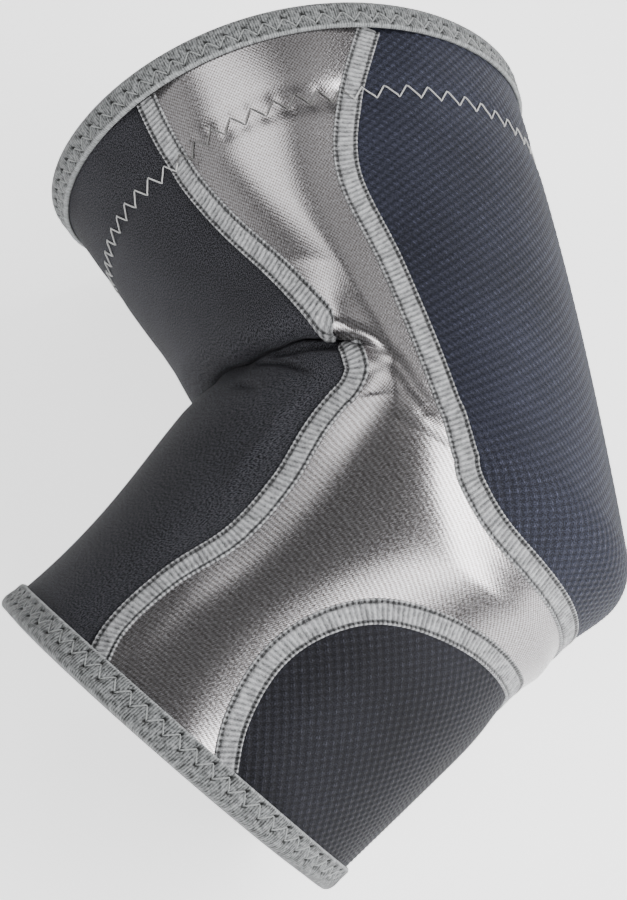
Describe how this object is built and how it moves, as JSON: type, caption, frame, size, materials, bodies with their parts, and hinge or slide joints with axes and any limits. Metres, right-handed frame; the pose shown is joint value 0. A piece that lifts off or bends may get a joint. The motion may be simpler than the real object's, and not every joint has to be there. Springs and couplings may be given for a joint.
{
  "type": "elbow pad",
  "caption": "Soft elbow support sleeve held in a bend, sewn from black, satin and waffle knit panels with flatlock seams and bound edges; it slides over the elbow.",
  "frame": {"origin": "on the elbow's hinge axis, at the level of the surface the sleeve lies on", "axes": "+Z along the hinge axis, from the inner side of the arm to the outer side; +Y along the upper arm, away from the elbow; the forearm runs towards -X and a little -Y"},
  "size_m": [0.1519, 0.181, 0.096],
  "materials": {
    "black_knit": "smooth jersey, slight sheen",
    "satin_knit": "satin-faced knit with a strong sheen",
    "waffle_knit": "waffle knit with small shiny fibres",
    "binding_elastic": "matt ribbed elastic",
    "grip_elastic": "matt, high friction",
    "grey_thread": "bulked polyester thread",
    "white_thread": "polyester thread"
  },
  "bodies": {
    "upper_sleeve": {"front_panel_upper": "black_knit", "side_panel_upper_outer": "satin_knit", "side_panel_upper_inner": "satin_knit", "elbow_back_panel": "waffle_knit", "front_seam_upper_outer": "grey_thread", "front_seam_upper_inner": "grey_thread", "elbow_back_seam": "grey_thread", "front_needle_rows_upper": "grey_thread", "elbow_back_needle_rows": "grey_thread", "top_binding": "binding_elastic", "top_binding_stitching": "grey_thread", "grip_band": "grip_elastic", "grip_band_stitching": "white_thread"},
    "forearm_sleeve": {"front_panel_lower": "black_knit", "side_panel_lower": "satin_knit", "forearm_back_panel": "waffle_knit", "front_seam_lower_outer": "grey_thread", "front_seam_lower_inner": "grey_thread", "forearm_back_seam": "grey_thread", "front_needle_rows_lower": "grey_thread", "forearm_back_needle_rows": "grey_thread", "bottom_binding": "binding_elastic", "bottom_binding_stitching": "grey_thread"}
  },
  "joints": [
    {"name": "elbow_bend", "type": "hinge", "parent": "upper_sleeve", "child": "forearm_sleeve", "pos_m": [0, 0, 0], "axis": [0, 0, 1], "range_deg": [-40, 55], "stiffness_Nm_per_rad": 0.15, "deforming": ["front_panel_upper", "side_panel_upper_outer", "side_panel_upper_inner", "elbow_back_panel", "elbow_back_seam", "elbow_back_needle_rows", "front_seam_upper_outer", "front_seam_upper_inner", "front_needle_rows_upper", "front_panel_lower", "side_panel_lower", "front_seam_lower_outer", "front_seam_lower_inner", "front_needle_rows_lower"]}
  ]
}
